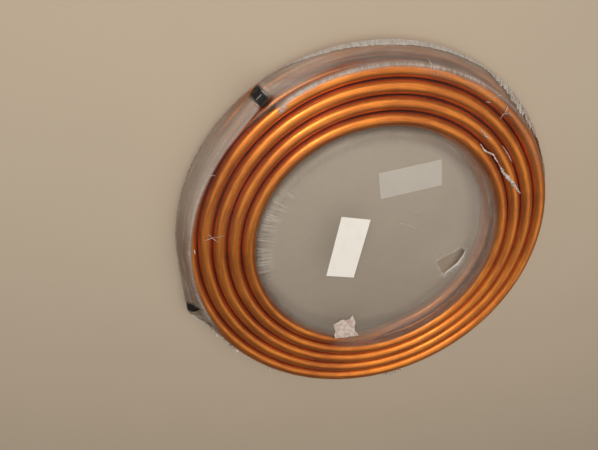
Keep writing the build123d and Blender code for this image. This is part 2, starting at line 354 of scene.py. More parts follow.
def smooth_step(value, low, high):
    """0 below low, 1 above high, and an even curve between them."""
    share = np.clip((value - low) / (high - low), 0.0, 1.0)
    return share * share * (3.0 - 2.0 * share)


def layer_point(outer_radius, turned):
    """A layer's centre line in its own plane, after winding through an angle from its outer end.

    Even and odd half turns have centres on opposite sides of the axis, which makes the spiral.
    """
    shift = turn_pitch() / 4
    half = np.floor(turned / HALF_TURN)
    radius = outer_radius - shift - half * turn_pitch() / 2
    centre = np.where(half % 2 == 0, shift, -shift)
    turn = np.radians(turned)
    return centre + radius * np.cos(turn), radius * np.sin(turn)


def layers():
    """For each layer: outer radius, start bearing, winding sense, angle wound, height, free end."""
    sizes = settings().sizes
    front_radius = sizes.outer_radius - sizes.front_inset
    return [
        (front_radius, sizes.front_start, 1, sizes.front_turned, front_height(), sizes.front_end),
        (sizes.outer_radius, sizes.rear_start, -1, sizes.rear_turned, rear_height(), sizes.rear_end),
    ]


def end_lift(along):
    """How far a free end has risen, by the distance along it."""
    sizes = settings().sizes
    slope = 2 * sizes.bend_lift / sizes.bend_length
    bent = np.clip(along, 0, sizes.bend_length)
    straight = np.clip(along - sizes.bend_length, 0, None)
    return sizes.bend_lift * (bent / sizes.bend_length) ** 2 + slope * straight


def turned_into_place(x, y, start, sense):
    """Points of a layer's own plane, wound the right way and turned to its start bearing."""
    turn = math.radians(start)
    y = y * sense
    return x * math.cos(turn) - y * math.sin(turn), x * math.sin(turn) + y * math.cos(turn)


def free_end_points(layer):
    """A free end's centre line, from its tip to its first turn."""
    radius, start, sense, _turned, height, length = layer
    along = np.linspace(length, 0, 14)[:-1]
    x, y = turned_into_place(np.full_like(along, radius), -along, start, sense)
    return np.stack([x, y, height + end_lift(along)], axis=1)


def wound_points(layer):
    """A layer's centre line, from its outer end to its inner end."""
    radius, start, sense, turned, height, _length = layer
    count = int(turned / settings().sizes.step_angle) + 1
    angle = np.linspace(0, turned, count)
    x, y = turned_into_place(*layer_point(radius, angle), start, sense)
    return np.stack([x, y, np.full_like(x, height)], axis=1)


def crossover_points(start, start_way, end, end_way):
    """The stretch between the layers: a curve that leaves and meets their inner ends smoothly."""
    share = np.linspace(0, 1, 20)[1:-1, None]
    reach = np.linalg.norm((end - start)[:2]) * CROSSOVER_REACH
    first, second = start + start_way * reach, end - end_way * reach
    curve = (1 - share) ** 3 * start + 3 * (1 - share) ** 2 * share * first
    curve += 3 * (1 - share) * share ** 2 * second + share ** 3 * end
    curve[:, 2:] = start[2] + (end[2] - start[2]) * smooth_step(share, 0, 1)
    return curve


def way(points, index):
    """Direction of travel at one end of a line of points."""
    step = points[index + 1] - points[index] if index >= 0 else points[index] - points[index - 1]
    return step / np.linalg.norm(step)


def tube_line():
    """The whole tube's centre line, from the front tip to the rear tip."""
    front, rear = layers()
    front_turns = wound_points(front)
    rear_turns = wound_points(rear)[::-1]
    crossing = crossover_points(
        front_turns[-1], way(front_turns, -1), rear_turns[0], way(rear_turns, 0)
    )
    ends = [free_end_points(front), free_end_points(rear)[::-1]]
    return np.concatenate([ends[0], front_turns, crossing, rear_turns, ends[1]])


def radial_sections(angle):
    """Where the tube passes through the half plane at each bearing: radii, heights, one row a pass.

    A pass that isn't there has a height far below the coil.
    """
    rows = []
    missing = -1.0
    cap = settings().cap
    for radius, start, sense, turned, height, length in layers():
        first = np.mod(sense * (angle - start), FULL_TURN)
        for lap in range(int(turned // FULL_TURN) + 1):
            wound = first + lap * FULL_TURN
            x, y = layer_point(radius, np.minimum(wound, turned))
            rows.append((np.hypot(x, y), np.where(wound <= turned, height, missing)))
        back = np.minimum(np.radians(FULL_TURN - first), FREE_END_SPAN)
        along = radius * np.tan(back)
        closed_end = length + cap.end_thickness
        in_cap = along > closed_end - cap.length - CAP_LEAD
        lift = end_lift(along) + in_cap * (cap.wall + cap.fit)
        rows.append((radius / np.cos(back), np.where(along <= closed_end, height + lift, missing)))
    return np.stack([row[0] for row in rows]), np.stack([row[1] for row in rows])


def polar(x, y):
    """Radii and bearings of places."""
    return np.hypot(x, y), np.degrees(np.arctan2(y, x))


def from_polar(radius, angle, height):
    """Points at radii, bearings and heights."""
    turn = np.radians(angle)
    return np.stack([radius * np.cos(turn), radius * np.sin(turn), height], axis=1)


def clear_selection():
    """Object mode with nothing selected."""
    if bpy.context.object and bpy.context.object.mode != "OBJECT":
        bpy.ops.object.mode_set(mode="OBJECT")
    bpy.ops.object.select_all(action="DESELECT")


def only(piece):
    """Make one object the selected and active one."""
    clear_selection()
    piece.select_set(True)
    bpy.context.view_layer.objects.active = piece


def new_piece(name, points, edges, faces):
    """A mesh object in the scene, selected and active."""
    mesh = bpy.data.meshes.new(name)
    mesh.from_pydata([tuple(point) for point in points], edges, faces)
    piece = bpy.data.objects.new(name, mesh)
    bpy.context.scene.collection.objects.link(piece)
    only(piece)
    return piece


def edit_all(piece):
    """Edit mode on one piece with all of it selected."""
    only(piece)
    bpy.ops.object.mode_set(mode="EDIT")
    bpy.ops.mesh.select_all(action="SELECT")


def edit_faces(piece, wanted):
    """Edit mode on one piece with the wanted faces selected."""
    only(piece)
    bpy.context.tool_settings.mesh_select_mode = (False, False, True)
    bpy.ops.object.mode_set(mode="EDIT")
    bpy.ops.mesh.select_all(action="DESELECT")
    leave_edit()
    piece.data.polygons.foreach_set("select", wanted)
    bpy.ops.object.mode_set(mode="EDIT")


def leave_edit():
    """Back to object mode."""
    bpy.ops.object.mode_set(mode="OBJECT")


def join_points(piece):
    """Join points that meet and turn every face outwards."""
    edit_all(piece)
    bpy.ops.mesh.remove_doubles(threshold=MERGE_DISTANCE)
    bpy.ops.mesh.normals_make_consistent(inside=False)
    leave_edit()


def vertex_array(piece):
    """The piece's vertices as an array of rows."""
    places = np.zeros(len(piece.data.vertices) * 3)
    piece.data.vertices.foreach_get("co", places)
    return places.reshape(-1, 3)


def place_vertices(piece, places):
    """Move the piece's vertices."""
    piece.data.vertices.foreach_set("co", np.ascontiguousarray(places, dtype=np.float32).ravel())
    piece.data.update()


def store(piece, name, values):
    """Keep one number a vertex on the mesh, for its material."""
    attribute = piece.data.attributes.new(name, "FLOAT", "POINT")
    attribute.data.foreach_set("value", np.ascontiguousarray(values, dtype=np.float32))


def give_thickness(piece, thickness, offset):
    """Turn a sheet into a thin wall."""
    only(piece)
    wall = piece.modifiers.new("wall", "SOLIDIFY")
    wall.thickness = thickness
    wall.offset = offset
    bpy.ops.object.modifier_apply(modifier=wall.name)


def shade_smooth(piece, degrees=180):
    """Smooth shading, except over edges sharper than an angle."""
    only(piece)
    if degrees >= HALF_TURN:
        bpy.ops.object.shade_smooth()
    else:
        bpy.ops.object.shade_smooth_by_angle(angle=math.radians(degrees))


def finish_piece(piece, slot_name, material, *nodes):
    """Give a piece its material and say what it rides on and stands for."""
    piece.data.materials.clear()
    piece.data.materials.append(material)
    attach(piece, "root")
    if nodes:
        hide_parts(*nodes)


def inside_outline(outline, x, y):
    """Which points lie inside a closed outline."""
    inside = np.zeros(len(x), dtype=bool)
    for (ax, ay), (bx, by) in zip(outline, outline[1:] + outline[:1]):
        crosses = (ay > y) != (by > y)
        rise = by - ay if by != ay else 1e-12
        inside ^= crosses & (x < ax + (y - ay) * (bx - ax) / rise)
    return inside


def nearest_on_outline(outline, x, y):
    """The nearest point of a closed outline to each point, and how far it is."""
    best = np.full(len(x), np.inf)
    found = np.zeros((len(x), 2))
    for start, end in zip(outline, outline[1:] + outline[:1]):
        start, side = np.array(start), np.array(end) - np.array(start)
        share = np.clip(((x - start[0]) * side[0] + (y - start[1]) * side[1]) / (side @ side), 0, 1)
        near = start + share[:, None] * side
        distance = np.hypot(near[:, 0] - x, near[:, 1] - y)
        closer = distance < best
        best[closer] = distance[closer]
        found[closer] = near[closer]
    return found, best


def trim_sheet(piece, outline, lowest, keep_inside):
    """Cut a sheet along an outline: delete the faces on one side and draw its new edge to the line."""
    centres = np.array([polygon.center for polygon in piece.data.polygons])
    inside = inside_outline(outline, centres[:, 0], centres[:, 1])
    edit_faces(piece, (inside != keep_inside) & (centres[:, 2] > lowest))
    bpy.ops.mesh.delete(type="FACE")
    leave_edit()
    places = vertex_array(piece)
    edge = open_edge_vertices(piece)
    near, _distance = nearest_on_outline(outline, places[edge, 0], places[edge, 1])
    places[edge, :2] = near
    for corner in outline:
        closest = np.hypot(places[edge, 0] - corner[0], places[edge, 1] - corner[1]).argmin()
        places[edge[closest], :2] = corner
    place_vertices(piece, places)
    return edge


def open_edge_vertices(piece):
    """Vertices on the open edges of a sheet, in order of their numbers."""
    counts = {}
    for polygon in piece.data.polygons:
        for key in polygon.edge_keys:
            counts[key] = counts.get(key, 0) + 1
    return np.array(sorted({vertex for key, count in counts.items() if count == 1 for vertex in key}))


def opaque(colour):
    """A colour with full cover, or a socket as it is."""
    return colour if isinstance(colour, bpy.types.NodeSocket) else (*colour, 1.0)


class Shader:
    """A material's node tree, built one node at a time."""

    def __init__(self, name):
        self.material = bpy.data.materials.new(name)
        self.material.use_nodes = True
        self.tree = self.material.node_tree
        self.tree.nodes.clear()
        self.surface = self.node("ShaderNodeBsdfPrincipled")
        self.node("ShaderNodeOutputMaterial", {"Surface": self.surface.outputs["BSDF"]})

    def node(self, kind, inputs=None, **fields):
        """A node with its own fields and some of its inputs set."""
        node = self.tree.nodes.new(kind)
        for key, value in fields.items():
            setattr(node, key, value)
        self.put(node, inputs or {})
        return node

    def put(self, node, inputs):
        """Link sockets to a node's inputs, or set the inputs to plain values."""
        for key, value in inputs.items():
            if isinstance(value, bpy.types.NodeSocket):
                self.tree.links.new(value, node.inputs[key])
            else:
                node.inputs[key].default_value = value

    def feed(self, **inputs):
        """Link or set inputs of the surface shader, with spaces written as underscores."""
        self.put(self.surface, {key.replace("_", " "): value for key, value in inputs.items()})

    def place(self):
        """The piece's own coordinates."""
        return self.node("ShaderNodeTexCoord").outputs["Object"]

    def attribute(self, name):
        """A number kept on the mesh."""
        return self.node("ShaderNodeAttribute", attribute_name=name).outputs["Fac"]

    def maths(self, operation, first, second, clamp=False):
        """One sum on sockets or numbers."""
        inputs = {0: first, 1: second}
        return self.node("ShaderNodeMath", inputs, operation=operation, use_clamp=clamp).outputs[0]

    def times(self, first, second, clamp=False):
        """A product of sockets or numbers."""
        return self.maths("MULTIPLY", first, second, clamp)

    def plus(self, grey, share, extra):
        """A grey with a share of another added, and no more than 1."""
        return self.maths("ADD", grey, self.times(extra, share), True)

    def blend(self, first, share, second):
        """A mean of two greys, with the first one's share."""
        return self.maths("ADD", self.times(first, share), self.times(second, 1 - share))

    def mix(self, share, first, second):
        """A blend of two colours."""
        # The colour sockets come after those for numbers and vectors
        inputs = {0: share, 6: opaque(first), 7: opaque(second)}
        return self.node("ShaderNodeMix", inputs, data_type="RGBA").outputs[2]

    def ramp(self, value, stops):
        """A colour or grey ramp: pairs of place and colour."""
        node = self.node("ShaderNodeValToRGB", {"Fac": value})
        elements = node.color_ramp.elements
        while len(elements) < len(stops):
            elements.new(1.0)
        for element, (place, colour) in zip(elements, stops):
            element.position = place
            element.color = opaque(colour if hasattr(colour, "__len__") else (colour, colour, colour))
        return node.outputs["Color"]

    def noise(self, vector, scale, detail=3.0, roughness=0.55, distortion=0.0):
        """Fractal noise on a vector."""
        inputs = {
            "Vector": vector,
            "Scale": scale,
            "Detail": detail,
            "Roughness": roughness,
            "Distortion": distortion,
        }
        return self.node("ShaderNodeTexNoise", inputs).outputs["Fac"]

    def along_turns(self, round_scale, radial_scale, height_scale, detail=4.0):
        """Noise drawn out along the turns, on the bearing as a unit circle, the radius and the height."""
        parts = self.node("ShaderNodeSeparateXYZ", {0: self.place()}).outputs
        flat = self.node("ShaderNodeCombineXYZ", {0: parts["X"], 1: parts["Y"]}).outputs[0]
        unit = self.node("ShaderNodeVectorMath", {0: flat}, operation="NORMALIZE").outputs["Vector"]
        radius = self.node("ShaderNodeVectorMath", {0: flat}, operation="LENGTH").outputs["Value"]
        bearing = self.node("ShaderNodeSeparateXYZ", {0: unit}).outputs
        east, north = self.times(bearing["X"], round_scale), self.times(bearing["Y"], round_scale)
        vector = {"X": east, "Y": north, "Z": self.times(parts["Z"], height_scale)}
        inputs = {
            "Vector": self.node("ShaderNodeCombineXYZ", vector).outputs[0],
            "W": self.times(radius, radial_scale),
            "Scale": 1.0,
            "Detail": detail,
        }
        return self.node("ShaderNodeTexNoise", inputs, noise_dimensions="4D").outputs["Fac"]

    def stretched(self, vector, scale):
        """A vector scaled by axis."""
        return self.node("ShaderNodeMapping", {"Vector": vector, "Scale": scale}).outputs[0]

    def bump(self, height, distance, strength, after=None):
        """Bump from a height, after another bump if there is one."""
        inputs = {"Height": height, "Distance": distance, "Strength": strength}
        if after is not None:
            inputs["Normal"] = after
        return self.node("ShaderNodeBump", inputs).outputs["Normal"]


def copper_material():
    """Bright drawn copper with draw lines along it and patches that have darkened."""
    look = settings().copper
    shader = Shader("drawn_copper")
    patches = shader.noise(shader.place(), 9.0, 4.0, 0.6)
    streaks = shader.along_turns(12.0, 800.0, 600.0, 3.0)
    bands = shader.ramp(shader.along_turns(4.0, 230.0, 170.0, 2.0), [(0.40, 0.50), (0.56, 1.0)])
    clean = shader.ramp(shader.blend(patches, 0.55, streaks), [(0.34, 0.0), (0.58, 1.0)])
    share = shader.times(clean, bands)
    shader.feed(Base_Color=shader.mix(share, tuple(look.dull), tuple(look.bright)))
    wear = shader.along_turns(40.0, 1800.0, 1400.0, 4.0)
    shader.feed(Roughness=shader.ramp(wear, [(0.30, 0.32), (0.72, 0.46)]))
    shader.feed(Metallic=1.0)
    shader.feed(Normal=shader.bump(streaks, 0.00005, 0.5))
    return shader.material


def film_whitening_and_sheen(shader, ticks):
    """How white the film is where it is torn or frosted, plus a painted sheen where it bends off the rim's
    turn, broken up by specks and short ticks.
    """
    fine = shader.noise(shader.place(), 190.0, 4.0, 0.7)
    speckled = shader.ramp(fine, [(0.36, 0.15), (0.60, 1.0)])
    broken = shader.times(speckled, shader.ramp(ticks, [(0.35, 0.35), (0.60, 1.0)]))
    crinkled = shader.times(shader.attribute("white"), broken, True)
    ticked = shader.ramp(ticks, [(0.36, 0.50), (0.56, 1.0)])
    # Painted sheen: a pale band added along the film's bend, standing in for a highlight
    return shader.plus(crinkled, ticked, shader.attribute("sheen"))


def film_streaks(shader):
    """Pale streaks drawn round the loose film, where its haze is dark."""
    drawn = shader.ramp(shader.along_turns(7.0, 210.0, 260.0, 3.0), [(0.46, 0.0), (0.66, 1.0)])
    dark = shader.maths("SUBTRACT", 1.0, shader.attribute("pale"), True)
    return shader.times(drawn, shader.times(shader.attribute("haze"), dark))


def film_material():
    """Clear shrink film: it hides little where it clings, looks hazy where it stands off, is white where it
    is creased or torn, and carries a painted sheen where it bends off the rim's turn."""
    look = settings().film
    shader = Shader("shrink_film")
    place = shader.place()
    cloud = shader.noise(place, 14.0, 4.0, 0.6)
    ticks = shader.along_turns(120.0, 25.0, 25.0, 3.0)
    creased_and_sheen = film_whitening_and_sheen(shader, ticks)
    ribbed = shader.times(shader.attribute("rib"), shader.ramp(ticks, [(0.45, 0.0), (0.58, 1.0)]), True)
    body = shader.mix(shader.attribute("pale"), tuple(look.rim_haze), tuple(look.haze))
    # The painted sheen in this share whitens the colour and raises the cover
    white = shader.plus(shader.plus(creased_and_sheen, 0.45, ribbed), 0.30, film_streaks(shader))
    shader.feed(Base_Color=shader.mix(white, body, tuple(look.whitened)))
    uneven = shader.times(shader.attribute("haze"), shader.ramp(cloud, [(0.25, 0.80), (0.75, 1.10)]))
    cover = shader.maths("ADD", shader.times(uneven, look.haze_alpha - look.clear_alpha), look.clear_alpha)
    shader.feed(Alpha=shader.plus(shader.plus(cover, 0.60, creased_and_sheen), 0.16, ribbed))
    shader.feed(Roughness=shader.ramp(cloud, [(0.30, 0.07), (0.75, 0.17)]))
    shader.feed(IOR=1.5, Specular_IOR_Level=0.3)
    creases = shader.noise(place, 46.0, 3.0, 0.6, 1.2)
    normal = shader.bump(ticks, 0.0005, 0.30)
    shader.feed(Normal=shader.bump(creases, 0.0006, 0.30, normal))
    return shader.material


def shred_material(name, thin, full, grey=(0.46, 0.40, 0.355)):
    """Torn film, drawn out and white, in short pleats that cross it, and plainer where it is even."""
    shader = Shader(name)
    grain = shader.noise(shader.place(), 260.0, 3.0, 0.6)
    pleats = shader.along_turns(110.0, 45.0, 60.0, 3.0)
    plain = shader.times(shader.attribute("even"), 0.72)
    both = shader.mix(plain, shader.blend(grain, 0.4, pleats), (0.50, 0.50, 0.50))
    pale = tuple(settings().film.whitened)
    shader.feed(Base_Color=shader.ramp(both, [(0.38, grey), (0.60, pale)]))
    shader.feed(Alpha=shader.ramp(both, [(0.40, thin), (0.60, full)]))
    shader.feed(Roughness=0.22, IOR=1.5)
    shader.feed(Normal=shader.bump(both, 0.0006, 0.5))
    return shader.material


def cap_material():
    """Black moulded plastic with a shine and a little dust."""
    shader = Shader("cap_plastic")
    place = shader.place()
    dust = shader.ramp(shader.noise(place, 240.0, 4.0, 0.7), [(0.66, 0.0), (0.84, 0.4)])
    black = tuple(settings().cap.plastic)
    shader.feed(Base_Color=shader.mix(dust, black, (0.10, 0.095, 0.085)))
    shader.feed(Roughness=shader.ramp(shader.noise(place, 90.0, 3.0), [(0.3, 0.05), (0.7, 0.13)]))
    shader.feed(Specular_IOR_Level=0.32)
    shader.feed(Normal=shader.bump(shader.noise(place, 280.0, 2.0), 0.0006, 0.6))
    return shader.material


def paper_material(name, white, soil_and_shade_share):
    """Matt paper with fibres, soiled by a share in patches, and darkened by the same share in its low creases
    as painted shade.
    """
    shader = Shader(name)
    place = shader.place()
    fibres = shader.noise(shader.stretched(place, (1.0, 1.7, 1.0)), 900.0, 4.0, 0.7)
    soil_and_shade = shader.ramp(shader.noise(place, 60.0, 5.0, 0.65), [(0.52, 0.0), (0.80, soil_and_shade_share)])
    # Painted shade: the paper is darkened where it lies low in its creases
    soil_and_shade = shader.plus(soil_and_shade, soil_and_shade_share, shader.attribute("crease"))
    clean = shader.mix(fibres, tuple(0.90 * part for part in white), tuple(white))
    shader.feed(Base_Color=shader.mix(soil_and_shade, clean, (0.42, 0.30, 0.25)))
    shader.feed(Roughness=shader.ramp(fibres, [(0.3, 0.55), (0.7, 0.75)]))
    shader.feed(Normal=shader.bump(fibres, 0.0001, 0.5))
    return shader.material


def floor_material():
    """Plain pale floor with a faint mottle."""
    shader = Shader("pale_floor")
    place = shader.place()
    mottle = shader.noise(place, 3.0, 5.0, 0.6)
    pale = tuple(settings().stage.floor_colour)
    shader.feed(Base_Color=shader.mix(mottle, tuple(0.93 * part for part in pale), pale))
    shader.feed(Roughness=0.85)
    return shader.material


def film_support(points, margin, angle):
    """How far from the axis a taut film stands at each bearing, drawn round points with a margin."""
    facing = np.radians(np.arange(0.0, FULL_TURN, 1.0))
    support = (points[:, :2] @ np.stack([np.cos(facing), np.sin(facing)])).max(axis=0) + margin
    ahead = np.cos(np.radians(angle)[:, None] - facing[None, :])
    least = 0.4
    reach = np.where(ahead > least, support / np.maximum(ahead, least), np.inf)
    return reach.min(axis=1)


def film_reach(angle):
    """Where the film stands at each bearing, at the heights of the front and rear layers."""
    cap_extra = settings().cap.wall + settings().cap.fit
    reaches = []
    for layer in layers():
        first_turn = wound_points(layer)[: int(FULL_TURN / settings().sizes.step_angle) + 2]
        tip = free_end_points(layer)
        turns = film_support(np.concatenate([first_turn, tip]), film_radius(), angle)
        tip_reach = film_support(tip, film_radius() + cap_extra, angle)
        reaches.append(np.maximum(turns, np.minimum(tip_reach, turns + cap_extra)))
    return reaches


def cling(distance):
    """How far the film is below a crest, at a distance from it across the turns."""
    radius = film_radius()
    half = turn_pitch() / 2
    edge = settings().film.contact_width
    on_tube = radius - np.sqrt(radius ** 2 - np.minimum(distance, edge) ** 2)
    slope = edge / math.sqrt(radius ** 2 - edge ** 2)
    past = np.clip(distance - edge, 0, half - edge)
    towards_groove = slope * (past - past ** 2 / (2 * (half - edge)))
    return on_tube + towards_groove + FREE_SLOPE * np.clip(distance - half, 0, None)


def sheet_height(radius, angle, upper):
    """Height of the film over the front turns, or its depth under the rear ones, seen as a height."""
    radii, heights = radial_sections(angle)
    middle = (front_height() + rear_height()) / 2
    if not upper:
        heights = np.where(heights > 0, 2 * middle - heights, heights)
    present = heights > middle
    crest = heights + film_radius()
    cover = np.where(present, crest - cling(np.abs(radius - radii)), -1.0).max(axis=0)
    innermost = np.where(present, radii, 1.0).min(axis=0)
    sag = settings().film.groove_sag * smooth_step(radius, innermost - 0.001, innermost + 0.001)
    return np.maximum(cover, top_height() - sag)


def blurred_height(radius, angle, upper):
    """The film's height, evened out along the turns, so that it drapes over the tube's ends."""
    total = 0.0
    beside = [sheet_height(radius, angle + turn, upper) for turn in (-0.9, 0.0, 0.9)]
    spread = ((-7.0, 0.10), (-4.5, 0.16), (-2.0, 0.24), (0.0, 0.24), (2.5, 0.16), (5.0, 0.10))
    for turn, share in spread:
        total = total + share * sheet_height(radius, angle + turn, upper)
    return np.maximum(total, np.max(beside, axis=0))


def face_height(x, y):
    """Height of the film's outside at points of the front face."""
    radius, angle = polar(x, y)
    return blurred_height(radius, angle, True) + bore_wrinkles(radius, angle, FRONT_WRINKLES)


def stations(counts):
    """Radii of a face's stations: across the flat film, then across the turns to the drum's edge."""
    flat, wound = counts
    across_bore = np.linspace(0, FLAT_FILM, flat)[:-1]
    return np.concatenate([across_bore, np.linspace(FLAT_FILM, settings().sizes.outer_radius, wound)])


def film_blank():
    """The film as turned on a lathe: a drum whose stations are shaped afterwards."""
    top = top_height()
    profile = [(radius, 0, top) for radius in stations(FRONT_STATIONS)]
    drum = settings().sizes.outer_radius
    profile += [(drum, 0, height) for height in np.linspace(top, 0, RIM_STATIONS)[1:-1]]
    profile += [(radius, 0, 0) for radius in reversed(stations(REAR_STATIONS))]
    edges = [(index, index + 1) for index in range(len(profile) - 1)]
    piece = new_piece("shrink_film", profile, edges, [])
    edit_all(piece)
    bpy.ops.mesh.spin(steps=FILM_SECTORS, angle=math.tau, center=(0, 0, 0), axis=(0, 0, 1))
    leave_edit()
    join_points(piece)
    return piece


def ripples(angle, counts, seed):
    """A wavy line round the axis: the mean of waves of several counts, with seeded sizes and phases."""
    draw = np.random.default_rng(seed)
    total = np.zeros_like(angle)
    for count in counts:
        total += np.sin(np.radians(angle) * count + draw.uniform(0, math.tau)) * draw.uniform(0.6, 1.0)
    return total / len(counts)


def bore_wrinkles(radius, angle, seed):
    """Small folds in the film across the bore, strongest near its edge, in metres."""
    folds = ripples(angle, (41, 57, 73), seed) * smooth_step(radius, 0.120, 0.195)
    folds *= 0.45 + 0.55 * np.clip(ripples(angle, (2, 3, 5), seed + 1) + 0.4, 0, 1)
    waves = ripples(angle, (3, 5, 8), seed + 2) * smooth_step(radius, 0.0, 0.10)
    rings = np.sin(radius * 95.0 + ripples(angle, (2, 4), seed + 3) * 1.5)
    inside = 1 - smooth_step(radius, *FOLDS_END)
    return (FOLD_HEIGHT * folds + WAVE_HEIGHT * waves * rings - BORE_SAG) * inside


def rear_rise(radius, angle):
    """How far the rear film stands up across the bore."""
    room = settings().film.rear_dish + settings().film.label_room
    inside = 1 - smooth_step(radius, *RISE_END)
    return inside * (room + bore_wrinkles(radius, angle, REAR_WRINKLES))


def spread_stations(radius, face, edge):
    """Spread one face's stations past the flat film, to an edge that varies by bearing."""
    turns = face & (radius >= FLAT_FILM)
    share = (radius[turns] - FLAT_FILM) / (settings().sizes.outer_radius - FLAT_FILM)
    radius[turns] = FLAT_FILM + np.clip(share, 0, 1) * (edge[turns] - FLAT_FILM)


def film_edges(angle):
    """Radii of the centres that the film bends round at the rim, at the front and the rear."""
    around = np.arange(0.0, FULL_TURN, 1.0)
    tube = film_radius()
    bearing = np.mod(angle, FULL_TURN)
    return [np.interp(bearing, around, reach, period=FULL_TURN) - tube for reach in film_reach(around)]


def shape_film(piece):
    """Draw the turned blank over the coil."""
    places = vertex_array(piece)
    top = top_height()
    tube = film_radius()
    radius, angle = polar(places[:, 0], places[:, 1])
    height = places[:, 2].copy()
    front_edge, rear_edge = film_edges(angle)
    front = height > top - FACE_TOUCH
    rear = height < FACE_TOUCH
    rim = ~front & ~rear
    down = (top - height[rim]) / top
    spread_stations(radius, front, front_edge)
    spread_stations(radius, rear, rear_edge)
    height[front] = blurred_height(radius[front], angle[front], True)
    height[front] += bore_wrinkles(radius[front], angle[front], FRONT_WRINKLES)
    height[rear] = top - blurred_height(radius[rear], angle[rear], False)
    height[rear] += rear_rise(radius[rear], angle[rear])
    front_z = blurred_height(front_edge[rim], angle[rim], True) - tube
    radius[rim], height[rim] = rim_profile(angle[rim], down, front_edge[rim], front_z, rear_edge[rim], tube)
    place_vertices(piece, from_polar(radius, angle, height))


def rim_profile(angle, down, front_edge, front_z, rear_edge, tube):
    """Round the rim in a radial section: round the front tube, straight, and round the rear tube.

    The rear end of the section lifts with the rear cap.
    """
    rear_cap = tube_ends()[1][0]
    bearing = math.degrees(math.atan2(rear_cap.y, rear_cap.x))
    rear_z = rear_height() + (rear_cap.z - rear_height()) * bearing_share(angle, bearing, 2.5, 6.0)
    fall = np.arctan2(rear_edge - front_edge, front_z - rear_z)
    first, last = RIM_BENDS
    bend_top = np.pi / 2 - (np.pi / 2 - fall) * np.clip(down / first, 0, 1)
    bend_low = fall - (fall + np.pi / 2) * np.clip((down - last) / (1 - last), 0, 1)
    slide = np.clip((down - first) / (last - first), 0, 1)
    turn = np.where(down < first, bend_top, np.where(down > last, bend_low, fall))
    centre_r = front_edge + (rear_edge - front_edge) * slide
    centre_z = front_z + (rear_z - front_z) * slide
    return centre_r + tube * np.cos(turn), centre_z + tube * np.sin(turn)


def bearing_share(angle, middle, half_width, fade):
    """1 within a range of bearings, falling to 0 over a fade at each end."""
    off = np.abs(np.mod(angle - middle + HALF_TURN, FULL_TURN) - HALF_TURN)
    return 1 - smooth_step(off, half_width, half_width + fade)


def by_bearing(angle, pairs):
    """A value at each bearing, between the bearings and values of a short list."""
    bearings, values = zip(*pairs)
    return np.interp(np.mod(angle, FULL_TURN), bearings, values)


def rim_haze(angle, past):
    """How hazy the loose film round the rim is, and how strong the painted sheen is where it bends, by
    bearing and distance past the outer front turn's crest."""
    begins = by_bearing(angle, HAZE_EDGE)
    leaving = smooth_step(past, begins, begins + 0.0025)
    loose = bearing_share(angle, *LOOSE_FILM)
    strength = 0.55 + 0.35 * smooth_step(past, 0.012, 0.028) + 0.42 * bearing_share(angle, *MILKY_FILM)
    cleared = bearing_share(angle, *CLEARED_FILM) * np.exp(-((past - 0.0150) / 0.0060) ** 2)
    haze = leaving * np.minimum(strength, 1.05) * loose * (1 - 0.85 * cleared)
    # Painted sheen: a pale band where the film bends off the outer front turn, standing in for a highlight
    sheen = np.exp(-((past - begins - 0.0032) / 0.0028) ** 2) * loose
    sheen *= 0.45 + 0.55 * bearing_share(angle, *SHINY_FILM)
    return np.clip(haze, 0, 1.1), sheen * np.clip(0.85 + 0.40 * ripples(angle, (3, 7, 11, 19), 22), 0.3, 1.1)


def clear_of_caps(places):
    """1 away from the caps and 0 over them, where the film is drawn tight."""
    clear = np.ones(len(places))
    for tip, pointing in tube_ends():
        middle = tip - pointing * (settings().cap.length / 2 - settings().cap.end_thickness)
        east, north = places[:, 0] - middle.x, places[:, 1] - middle.y
        along = np.abs(east * pointing.x + north * pointing.y)
        across = np.abs(north * pointing.x - east * pointing.y)
        clear *= np.maximum(smooth_step(along, *FREE_ALONG_CAP), smooth_step(across, *FREE_ACROSS_CAP))
    return clear


def stand_off(radius, angle, height):
    """How far the film is from the nearest turn, as a share, evened out along the turns."""
    total = 0.0
    for turn in (-4.0, -2.0, 0.0, 2.0, 4.0):
        radii, heights = radial_sections(angle + turn)
        away = np.hypot(radius - radii, height - heights).min(axis=0) - tube_radius()
        total = total + smooth_step(away, *LETS_GO) / 5
    return total


def tear_whitening(places):
    """How far the film has whitened round the tear, mostly on the side of the curled lip."""
    _near, distance = nearest_on_outline(TEAR_OUTLINE, places[:, 0], places[:, 1])
    towards_lip = (places[:, :2] - np.mean(TEAR_OUTLINE, axis=0)) @ np.array(TOWARDS_LIP)
    reach = WHITE_REACH + LIP_WHITE_REACH * smooth_step(towards_lip, 0.0, 0.022)
    return 1 - smooth_step(distance, 0.0006, reach)


def on_front(height):
    """1 on the film above the rear layer's middle, and 0 near the rest plane."""
    return smooth_step(height, 0.006, 0.014)


def stand_off_haze(radius, angle, height, bore, towards_top):
    """How hazy the film is where it stands off the turns and across the bore."""
    inside = np.where(on_front(height) > 0.5, 0.45 - 0.12 * towards_top, 0.08)
    outwards = smooth_step(radius, 0.225, 0.240)
    over_turns = 0.55 * (1 - outwards) + 0.75 * outwards
    return stand_off(radius, angle, height) * (bore * inside + (1 - bore) * over_turns)


